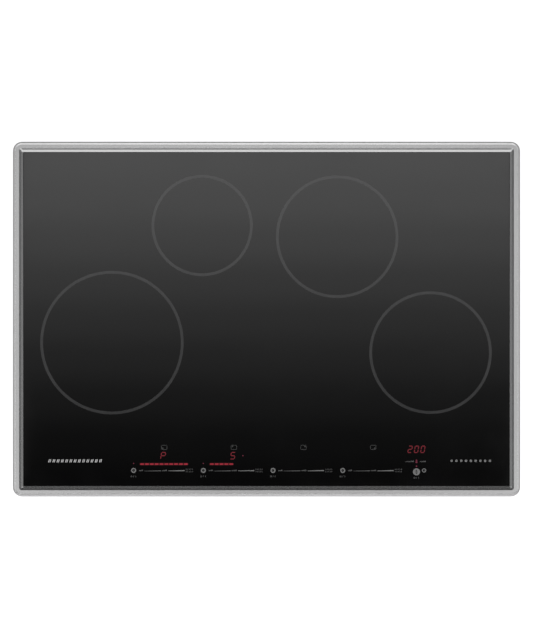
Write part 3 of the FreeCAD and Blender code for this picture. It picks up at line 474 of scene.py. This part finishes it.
def circuitBoard(name):
    # green mask over copper tracks
    material, tree, shader, place = newMaterial(name, coat=0.4, coatRoughness=0.2)
    tracks = tree.nodes.new("ShaderNodeTexBrick")
    tracks.inputs["Scale"].default_value = 90.0
    tracks.inputs["Mortar Size"].default_value = 0.035
    tracks.inputs["Color1"].default_value = (0.010, 0.105, 0.045, 1)
    tracks.inputs["Color2"].default_value = (0.012, 0.125, 0.055, 1)
    tracks.inputs["Mortar"].default_value = (0.035, 0.22, 0.10, 1)
    tree.links.new(place, tracks.inputs["Vector"])
    tree.links.new(tracks.outputs["Color"], shader.inputs["Base Color"])
    texture = addEffect(tree, "mottle", place, Cloud=40.0, Grain=1500.0)
    spreadRoughness(tree, shader, texture["Tone"], 0.3, 0.5)
    relief(tree, shader, tracks.outputs["Fac"], 0.04 * mm, 0.5)
    return material


def woundWire(name, centre):
    # turns of enamelled litz round a centre, with the strands' twist across them
    material, tree, shader, place = newMaterial(name, metallic=0.85)
    local = turned(tree, place, 0.0, (-centre[0], -centre[1], 0))
    axes = tree.nodes.new("ShaderNodeSeparateXYZ")
    tree.links.new(local, axes.inputs["Vector"])
    angle = mathNode(tree, "ARCTAN2", axes.outputs["Y"], axes.outputs["X"])
    twist = mathNode(tree, "SINE", mathNode(tree, "MULTIPLY", angle, 180.0))
    texture = addEffect(tree, "mottle", place, Cloud=60.0, Grain=2200.0)
    tone = mathNode(tree, "ADD", mathNode(tree, "MULTIPLY", twist, 0.14), texture["Tone"])
    shade(tree, shader, tone, (0.42, 0.15, 0.055), (0.78, 0.36, 0.17))
    spreadRoughness(tree, shader, tone, 0.28, 0.5)
    relief(tree, shader, tone, 0.12 * mm, 0.5)
    return material


def printedInk(name, dark, light):
    # enamel fired on the glass: it keeps the glass's own gloss
    material, tree, shader, place = newMaterial(name, roughness=0.12)
    texture = addEffect(tree, "mottle", place, Cloud=60.0, Grain=2600.0)
    shade(tree, shader, texture["Tone"], dark, light)
    spreadRoughness(tree, shader, texture["Tone"], 0.06, 0.16)
    return material


def litMark(name, colour):
    # light behind tinted glass, uneven from die to die
    material, tree, shader, place = newMaterial(name, roughness=0.1)
    texture = addEffect(tree, "mottle", place, Cloud=180.0, Grain=1200.0)
    shade(tree, shader, texture["Tone"], (0.02, 0.002, 0.002), (0.04, 0.004, 0.004))
    ramp = tree.nodes.new("ShaderNodeValToRGB")
    ramp.color_ramp.elements[0].position = 0.35
    ramp.color_ramp.elements[1].position = 0.65
    ramp.color_ramp.elements[0].color = (*[0.72 * part for part in colour], 1)  # the dimmer dies
    ramp.color_ramp.elements[1].color = (*colour, 1)
    tree.links.new(texture["Tone"], ramp.inputs["Fac"])
    tree.links.new(ramp.outputs["Color"], shader.inputs["Emission Color"])
    shader.inputs["Emission Strength"].default_value = 1.0
    return material


finishes = {
    "surround": stainlessSurround(),
    "glass": blackGlass(),
    "ringSheet": brushedSheet("ringSheet", (0.42, 0.43, 0.43), (0.58, 0.58, 0.58)),
    "silicone": moulded("blackSilicone", (0.010, 0.010, 0.011), (0.022, 0.022, 0.023), (0.5, 0.75), 900.0),
    "foam": moulded("sealingFoam", (0.018, 0.018, 0.019), (0.045, 0.045, 0.047), (0.8, 0.95), 1100.0, 0.12),
    "pan": galvanised("galvanisedPan"),
    "cover": galvanised("galvanisedCover", 130.0),
    "blackNylon": moulded("blackNylon", (0.012, 0.012, 0.013), (0.030, 0.030, 0.031)),
    "whiteNylon": moulded("naturalNylon", (0.60, 0.58, 0.52), (0.78, 0.76, 0.70)),
    "terminal": moulded("terminalCream", (0.58, 0.54, 0.43), (0.74, 0.70, 0.58), (0.3, 0.45)),
    "board": circuitBoard("greenBoard"),
    "package": moulded("mouldedPackage", (0.012, 0.012, 0.012), (0.028, 0.028, 0.028)),
    "capacitor": moulded("capacitorCase", (0.50, 0.30, 0.04), (0.68, 0.44, 0.09), (0.25, 0.4)),
    "sink": brushedSheet("extrudedAluminium", (0.58, 0.59, 0.60), (0.78, 0.79, 0.80), angle=math.pi / 2),
    "tray": brushedSheet("millAluminium", (0.56, 0.57, 0.58), (0.74, 0.75, 0.76), (0.35, 0.55), along=6.0,
                         across=700.0),
    "coilMoulding": moulded("coilMoulding", (0.035, 0.035, 0.037), (0.075, 0.075, 0.078)),
    "ferrite": moulded("sinteredFerrite", (0.030, 0.030, 0.033), (0.065, 0.065, 0.070), (0.35, 0.6), 2200.0, 0.06),
    "spring": brushedSheet("springWire", (0.45, 0.46, 0.48), (0.62, 0.63, 0.65), (0.2, 0.35)),
    "mica": moulded("pressedMica", (0.50, 0.42, 0.29), (0.72, 0.65, 0.50), (0.35, 0.6), 500.0),
    "sensor": moulded("sensorCeramic", (0.70, 0.67, 0.60), (0.84, 0.82, 0.77), (0.25, 0.4)),
    "motor": moulded("motorCore", (0.05, 0.05, 0.052), (0.10, 0.10, 0.104)),
    "touchFoam": moulded("touchFoam", (0.030, 0.030, 0.031), (0.070, 0.070, 0.072), (0.8, 0.95), 1100.0, 0.1),
    "display": moulded("displayCase", (0.012, 0.012, 0.012), (0.025, 0.025, 0.025), (0.2, 0.35)),
    "lampCase": moulded("lampCase", (0.20, 0.012, 0.010), (0.34, 0.020, 0.016), (0.2, 0.35)),
    "ribbon": moulded("ribbonGrey", (0.36, 0.36, 0.36), (0.50, 0.50, 0.50), (0.35, 0.5)),
    "zinc": brushedSheet("brightZinc", (0.52, 0.54, 0.56), (0.74, 0.75, 0.75), (0.22, 0.42), along=300.0,
                         across=1200.0),
    "choke": woundWire("chokeWire", (0, 0)),
    "zoneInk": printedInk("zoneInk", (0.044, 0.044, 0.045), (0.056, 0.056, 0.057)),
    "dimInk": printedInk("dimInk", (0.095, 0.095, 0.095), (0.13, 0.13, 0.13)),
    "legendInk": printedInk("legendInk", (0.17, 0.17, 0.17), (0.22, 0.22, 0.22)),
    "greyInk": printedInk("greyInk", (0.25, 0.25, 0.25), (0.31, 0.31, 0.31)),
    "paleInk": printedInk("paleInk", (0.46, 0.46, 0.46), (0.56, 0.56, 0.56)),
    "whiteInk": printedInk("whiteInk", (0.84, 0.84, 0.84), (0.93, 0.93, 0.93)),
    "lampRed": litMark("lampRed", (0.37, 0.024, 0.043)),
    # painted glow: a dim red sheet that stands in for the lit lamps' light spreading in the glass
    "paintedLampGlow": litMark("paintedLampGlow", (0.030, 0.005, 0.006)),
    "digitRed": litMark("digitRed", (0.19, 0.022, 0.032)),
    "dotRed": litMark("dotRed", (0.17, 0.030, 0.055)),
}
finishOf = {
    "trim_frame": "surround", "ceramic_glass": "glass", "support_ring": "ringSheet", "glass_bond": "silicone",
    "worktop_seal": "foam", "base_pan": "pan", "terminal_cover": "cover", "cable_inlet_bush": "blackNylon",
    "terminal_block": "terminal", "filter_board": "board", "filter_chokes": "choke",
    "power_board_left": "board", "power_board_right": "board", "heat_sink_left": "sink",
    "heat_sink_right": "sink", "power_transistors": "package", "board_capacitors": "capacitor",
    "fan_housing_left": "blackNylon", "fan_housing_right": "blackNylon", "fan_motors": "motor",
    "fan_rotor_left": "blackNylon", "fan_rotor_right": "blackNylon", "coil_tray_left": "tray",
    "coil_tray_right": "tray", "standoffs": "whiteNylon", "control_carrier": "coilMoulding",
    "touch_board": "board", "touch_pads": "touchFoam", "display_modules": "display", "led_bars": "lampCase",
    "ribbon_cable": "ribbon", "temperature_sensors": "sensor", "mica_discs": "mica", "case_screws": "zinc",
    "clamp_guides": "zinc", "coil_springs": "spring",
}
families = {
    "coil_carrier": "coilMoulding", "coil_ferrites": "ferrite", "clamp_screw": "zinc", "clamp_nut": "zinc",
    "clamp_claw": "zinc",
}
zones = ("front_left", "rear_left", "rear_right", "front_right")


def middleOf(node):
    low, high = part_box(node)
    return (low + high) / 2


def finishCadNodes():
    for name, node in cadNodes.items():
        if name.startswith("coil_winding"):
            material = woundWire("litz_" + name.removeprefix("coil_winding_"), middleOf(name))
        else:
            family = next((f for f in families if name.startswith(f)), None)
            material = finishes[families[family] if family else finishOf[name]]
        for slot in node.material_slots:
            slot.material = material


finishCadNodes()
print("CAD nodes finished")


# marks on the glass

def addBar(bm, x, y, width, height, lean=0.0, clip=0.0, low=printLow, high=printHigh):
    # a flat bar; clip cuts its corners
    made = bmesh.ops.create_cube(bm, size=1)["verts"]
    bmesh.ops.scale(bm, vec=(width, height, high - low), verts=made)
    if clip:
        upright = [e for e in bm.edges if e.verts[0] in made and e.verts[1] in made
                   and abs(e.verts[0].co.z - e.verts[1].co.z) > (high - low) / 2]
        cut = bmesh.ops.bevel(bm, geom=upright, offset=clip, segments=1, profile=0.5, affect="EDGES", material=-1)
        made = list({v for f in cut["faces"] for v in f.verts})
    slant = Matrix(((1, lean, 0, 0), (0, 1, 0, 0), (0, 0, 1, 0), (0, 0, 0, 1)))
    bmesh.ops.transform(bm, matrix=Matrix.Translation((x, y, (low + high) / 2)) @ slant, verts=made)


def addRing(bm, x, y, outer, inner, steps=48):
    section = ((inner, printLow), (outer, printLow), (outer, printHigh), (inner, printHigh))
    corners = [bm.verts.new((x + radius, y, z)) for radius, z in section]
    edges = [bm.edges.new(pair) for pair in zip(corners, corners[1:] + corners[:1])]
    bmesh.ops.spin(bm, geom=corners + edges, cent=(x, y, 0), axis=(0, 0, 1), dvec=(0, 0, 0), angle=2 * math.pi,
                   steps=steps, use_merge=True, use_duplicate=False)


def addDisc(bm, x, y, radius, steps):
    place = Matrix.Translation((x, y, (printLow + printHigh) / 2))
    bmesh.ops.create_cone(bm, cap_ends=True, segments=steps, radius1=radius, radius2=radius,
                          depth=printHigh - printLow, matrix=place)


def addWedge(bm, x1, x2, base, startHeight, endHeight):
    # a line that thickens from left to right over a level lower edge
    made = bmesh.ops.create_cube(bm, size=1)["verts"]
    for v in made:
        right = v.co.x > 0
        v.co.x = x2 if right else x1
        v.co.y = base + (endHeight if right else startHeight) * (v.co.y > 0)
        v.co.z = printHigh if v.co.z > 0 else printLow


# across, up, and whether the segment is upright
segmentPlaces = {
    "a": (0, 1, 0), "g": (0, 0, 0), "d": (0, -1, 0),
    "f": (-1, 0.5, 1), "b": (1, 0.5, 1), "e": (-1, -0.5, 1), "c": (1, -0.5, 1),
}
litSegments = {"P": "abefg", "5": "acdfg", "2": "abdeg", "0": "abcdef"}
digitShape = {"lean": 0.18, "stroke": 1.3 * mm, "gap": 0.55 * mm, "clip": 0.585 * mm}


def addDigit(bm, sign, x, y, width, height):
    halfWide, halfHigh = (width - digitShape["stroke"]) / 2, (height - digitShape["stroke"]) / 2
    for segment in litSegments[sign]:
        across, up, upright = segmentPlaces[segment]
        length = (halfHigh if upright else 2 * halfWide) - digitShape["gap"]
        size = (digitShape["stroke"], length) if upright else (length, digitShape["stroke"])
        dx, dy = across * halfWide, up * halfHigh
        lean = digitShape["lean"]
        addBar(bm, x + dx + lean * dy, y + dy, *size, lean=lean, clip=digitShape["clip"])


def endPiece(name, bm, finish):
    bmesh.ops.remove_doubles(bm, verts=bm.verts, dist=1e-6)
    bmesh.ops.recalc_face_normals(bm, faces=bm.faces)
    mesh = bpy.data.meshes.new(name)
    bm.to_mesh(mesh)
    bm.free()
    mesh.materials.append(finishes[finish])
    piece = bpy.data.objects.new(name, mesh)
    scene.collection.objects.link(piece)
    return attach(piece, "root")


def coilSprings():
    # the CAD springs, parted by coil
    for zone in zones:
        near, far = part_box("coil_carrier_" + zone)
        bm = bmesh.new()
        bm.from_mesh(cadNodes["coil_springs"].data)
        away = [v for v in bm.verts if not (near.x < v.co.x < far.x and near.y < v.co.y < far.y)]
        bmesh.ops.delete(bm, geom=away, context="VERTS")
        springs = endPiece("coilSprings_" + zone, bm, "spring")
        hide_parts("coil_springs")
        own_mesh(springs)


coilSprings()
print("springs set under the coils")


zonePrint = {
    "width": 4.2 * mm, "steps": 192,
    "radius": {"front_left": 105.6 * mm, "rear_left": 73.9 * mm, "rear_right": 89.85 * mm,
               "front_right": 89.85 * mm},
}


def zoneRings():
    for zone in zones:
        centre = middleOf("coil_carrier_" + zone)
        radius, half = zonePrint["radius"][zone], zonePrint["width"] / 2
        bm = bmesh.new()
        addRing(bm, centre.x, centre.y, radius + half, radius - half, zonePrint["steps"])
        endPiece("zoneRing_" + zone, bm, "zoneInk")


zoneRings()
print("zone rings printed")


slider = {
    "firstKey": -199.5 * mm, "pitch": 104.65 * mm, "keyRow": -227.2 * mm, "keyOuter": 3.75 * mm,
    "keyInner": 2.0 * mm, "strokeLift": 0.3 * mm, "stroke": (0.5 * mm, 1.7 * mm), "labelRow": -236.2 * mm,
    "dotRow": -216.7 * mm, "dotRadius": 0.8 * mm,
    "lineRow": -228.3 * mm, "thinLine": (16.0 * mm, 41.0 * mm), "thinHeights": (0.3 * mm, 1.0 * mm),
    "thickLine": (52.0 * mm, 76.4 * mm), "thickHeights": (0.7 * mm, 1.6 * mm),
    "lowSteps": (11.0 * mm, 4), "highSteps": (46.2 * mm, 5), "stepHeight": 2.1 * mm,
    "chevronStart": 79.0 * mm, "chevronPitch": 2.3 * mm, "chevronRows": 1.7 * mm, "chevronCount": 5,
    "lampRow": -217.7 * mm, "lampStart": 9.8 * mm, "lampPitch": 7.28 * mm, "lampSize": (5.9 * mm, 2.1 * mm),
    "lampClip": 0.7 * mm, "lampRise": 0.03 * mm, "glowMargin": 0.8 * mm, "glowClip": 1.2 * mm,
    "digitX": 44.3 * mm, "digitRow": -205.1 * mm, "digitSize": (7.4 * mm, 11.2 * mm),
    "pointX": -35.4 * mm, "pointRadius": 0.9 * mm, "pointSlider": 2,
    "symbolX": 45.8 * mm, "symbolRow": -192.6 * mm, "symbolSize": (8.9 * mm, 6.9 * mm), "symbolLine": 0.6 * mm,
    "symbolCorner": 1.4 * mm, "symbolZone": (2.1 * mm, 1.3 * mm), "symbolZoneRadius": 1.0 * mm,
}
# digit, lit lamps, and the corner of the plan that is marked
sliderStates = [("P", 10, (-1, -1)), ("5", 5, (-1, 1)), (None, 0, (1, 1)), (None, 0, (1, -1))]


signs = {
    "stepPitch": 1.55 * mm, "stepWidth": 0.9 * mm, "stepFirst": 0.45,
    "onOffHeight": 2.4 * mm, "onOffPitch": 3.2 * mm, "onOffLine": 0.4 * mm, "slashLean": 0.35, "slashReach": 1.1,
    "barWidth": 0.45 * mm, "chevronShift": 0.45 * mm, "chevronSize": (0.55 * mm, 1.1 * mm), "chevronLean": 0.9,
}


def levelSteps(bm, x, y, count, height):
    # small rising strokes: a level sign
    first = signs["stepFirst"]
    for k in range(count):
        tall = height * (first + (1 - first) * (k + 1) / count)
        across = (k - (count - 1) / 2) * signs["stepPitch"]
        addBar(bm, x + across, y + (tall - height) / 2, signs["stepWidth"], tall)


def onOffSign(bm, x, y):
    # open circle, slash and bar
    height, pitch = signs["onOffHeight"], signs["onOffPitch"]
    addRing(bm, x - pitch, y, height / 2, height / 2 - signs["onOffLine"], 20)
    addBar(bm, x, y, signs["onOffLine"], height * signs["slashReach"], lean=signs["slashLean"])
    addBar(bm, x + pitch, y, signs["barWidth"], height)


def chevron(bm, x, y):
    for side in (-1, 1):
        addBar(bm, x, y + side * signs["chevronShift"], *signs["chevronSize"], lean=-side * signs["chevronLean"])


def sliderMarks(index, key):
    grey, dim = bmesh.new(), bmesh.new()
    addRing(grey, key, slider["keyRow"], slider["keyOuter"], slider["keyInner"])
    addBar(grey, key, slider["keyRow"] + slider["strokeLift"], *slider["stroke"])
    for bm, line, heights in ((grey, "thickLine", "thickHeights"), (dim, "thinLine", "thinHeights")):
        start, end = slider[line]
        addWedge(bm, key + start, key + end, slider["lineRow"], *slider[heights])
    onOffSign(dim, key, slider["labelRow"])
    for steps in ("lowSteps", "highSteps"):
        along, count = slider[steps]
        levelSteps(dim, key + along, slider["keyRow"], count, slider["stepHeight"])
    for row in (-1, 1):
        for k in range(slider["chevronCount"]):
            x = key + slider["chevronStart"] + k * slider["chevronPitch"]
            chevron(dim, x, slider["keyRow"] + row * slider["chevronRows"])
    endPiece(f"sliderKey{index}", grey, "greyInk")
    endPiece(f"sliderLegend{index}", dim, "legendInk")


def zoneSymbol(index, key, corner):
    # a small plan of the hob with the slider's zone marked in its corner
    bm = bmesh.new()
    x, y = key + slider["symbolX"], slider["symbolRow"]
    width, height = slider["symbolSize"]
    line, cut = slider["symbolLine"], slider["symbolCorner"]
    for side in (-1, 1):
        addBar(bm, x, y + side * (height - line) / 2, width - cut, line)
        addBar(bm, x + side * (width - line) / 2, y, line, height - cut)
    dx, dy = slider["symbolZone"]
    addDisc(bm, x + corner[0] * dx, y + corner[1] * dy, slider["symbolZoneRadius"], 16)
    endPiece(f"zoneSymbol{index}", bm, "dimInk")


def lampBar(index, key, lit):
    width, height = slider["lampSize"]
    start = key + slider["lampStart"] + width / 2
    bright, glow, dot = bmesh.new(), bmesh.new(), bmesh.new()
    for k in range(lit):
        addBar(bright, start + k * slider["lampPitch"], slider["lampRow"], width, height, clip=slider["lampClip"],
               low=printHigh, high=printHigh + slider["lampRise"])
    # painted glow: a faint glowing sheet on the glass round the lit lamps, wider than them, stands in for their
    # light spreading
    length = (lit - 1) * slider["lampPitch"]
    margin = 2 * slider["glowMargin"]
    addBar(glow, start + length / 2, slider["lampRow"], length + width + margin, height + margin,
           clip=slider["glowClip"])
    addDisc(dot, key, slider["dotRow"], slider["dotRadius"], 20)
    endPiece(f"lampBar{index}", bright, "lampRed")
    endPiece(f"paintedLampGlow{index}", glow, "paintedLampGlow")
    endPiece(f"keyDot{index}", dot, "dotRed")


def zoneDigit(index, key, sign):
    bm = bmesh.new()
    addDigit(bm, sign, key + slider["digitX"], slider["digitRow"], *slider["digitSize"])
    endPiece(f"zoneDigit{index}", bm, "digitRed")
    if index == slider["pointSlider"]:
        bm = bmesh.new()
        addDisc(bm, slider["pointX"], slider["digitRow"], slider["pointRadius"], 16)
        endPiece("displayPoint", bm, "dotRed")


def sliders():
    for index, (sign, lit, corner) in enumerate(sliderStates, start=1):
        key = slider["firstKey"] + (index - 1) * slider["pitch"]
        sliderMarks(index, key)
        zoneSymbol(index, key, corner)
        if lit:
            lampBar(index, key, lit)
            zoneDigit(index, key, sign)


sliders()
print("sliders printed")


timer = {
    "x": 225.2 * mm, "digitRow": -195.5 * mm, "digitPitch": 9.6 * mm, "digitSize": (6.6 * mm, 11.0 * mm),
    "lampRadius": 1.1 * mm, "lampRow": -212.0 * mm, "bellRow": -214.8 * mm, "bellSize": (3.4 * mm, 2.6 * mm),
    "keyLampRow": -220.9 * mm, "keyRow": -229.4 * mm, "keyRadius": 5.3 * mm,
    "slotSize": (2.1 * mm, 5.8 * mm), "slotClip": 0.6 * mm, "markSize": (0.6 * mm, 4.2 * mm),
    "smallKey": (236.6 * mm, -227.2 * mm), "smallOuter": 3.1 * mm, "smallInner": 1.9 * mm,
    "handShift": 0.3 * mm, "handSize": (0.5 * mm, 1.3 * mm),
    "legendRow": -213.6 * mm, "leftSteps": (-10.2 * mm, 8), "rightSteps": (9.3 * mm, 6), "stepHeight": 2.0 * mm,
    "labelRow": -238.2 * mm, "slotRise": 0.03 * mm, "markRise": 0.05 * mm,
}


def timerMarks():
    x = timer["x"]
    digits = bmesh.new()
    for k, sign in enumerate("200"):
        addDigit(digits, sign, x + (k - 1) * timer["digitPitch"], timer["digitRow"], *timer["digitSize"])
    endPiece("timerDigits", digits, "digitRed")

    lamps = bmesh.new()
    addDisc(lamps, x, timer["lampRow"], timer["lampRadius"], 16)
    addBar(lamps, x, timer["bellRow"], *timer["bellSize"], clip=timer["lampRadius"])
    addDisc(lamps, x, timer["keyLampRow"], timer["lampRadius"], 16)
    endPiece("timerLamps", lamps, "dotRed")

    dim = bmesh.new()
    for steps in ("leftSteps", "rightSteps"):
        along, count = timer[steps]
        levelSteps(dim, x + along, timer["legendRow"], count, timer["stepHeight"])
    onOffSign(dim, x, timer["labelRow"])
    endPiece("timerLegend", dim, "legendInk")


def timerKeys():
    # a round key with a dark slot and a stroke in it, and a small ring with a clock hand beside it
    x, row = timer["x"], timer["keyRow"]
    keyX, keyY = timer["smallKey"]
    grey = bmesh.new()
    addDisc(grey, x, row, timer["keyRadius"], 48)
    addRing(grey, keyX, keyY, timer["smallOuter"], timer["smallInner"], 32)
    addBar(grey, keyX + timer["handShift"], keyY + timer["handShift"], *timer["handSize"], lean=0.4)
    endPiece("timerKeys", grey, "greyInk")
    slotTop = printHigh + timer["slotRise"]
    slot = bmesh.new()
    addBar(slot, x, row, *timer["slotSize"], clip=timer["slotClip"], low=printHigh, high=slotTop)
    endPiece("timerKeySlot", slot, "glass")
    mark = bmesh.new()
    addBar(mark, x, row, *timer["markSize"], low=slotTop, high=printHigh + timer["markRise"])
    endPiece("timerKeyMark", mark, "greyInk")


timerMarks()
timerKeys()
print("timer printed")


strokeRow = {
    "left": -325.6 * mm, "pitch": 6.37 * mm, "pairs": 13, "row": -212.9 * mm, "size": (1.15 * mm, 4.5 * mm),
    "apart": 2.1 * mm, "lean": 0.3,
}
coilSign = {
    "left": 278.0 * mm, "pitch": 7.19 * mm, "count": 9, "row": -212.8 * mm, "outer": 1.7 * mm,
    "line": 0.65 * mm, "core": 0.45 * mm,
}


def ornaments():
    # a row of slanted double strokes on the left, and a row of small coils on the right
    left = bmesh.new()
    for k in range(strokeRow["pairs"]):
        middle = strokeRow["left"] + k * strokeRow["pitch"]
        for side in (-0.5, 0.5):
            x = middle + side * strokeRow["apart"]
            addBar(left, x, strokeRow["row"], *strokeRow["size"], lean=strokeRow["lean"])
    endPiece("frontOrnament", left, "whiteInk")
    right = bmesh.new()
    for k in range(coilSign["count"]):
        x = coilSign["left"] + k * coilSign["pitch"]
        addRing(right, x, coilSign["row"], coilSign["outer"], coilSign["outer"] - coilSign["line"], 24)
        addDisc(right, x, coilSign["row"], coilSign["core"], 12)
    endPiece("coilSigns", right, "paleInk")


ornaments()
print("ornaments printed")
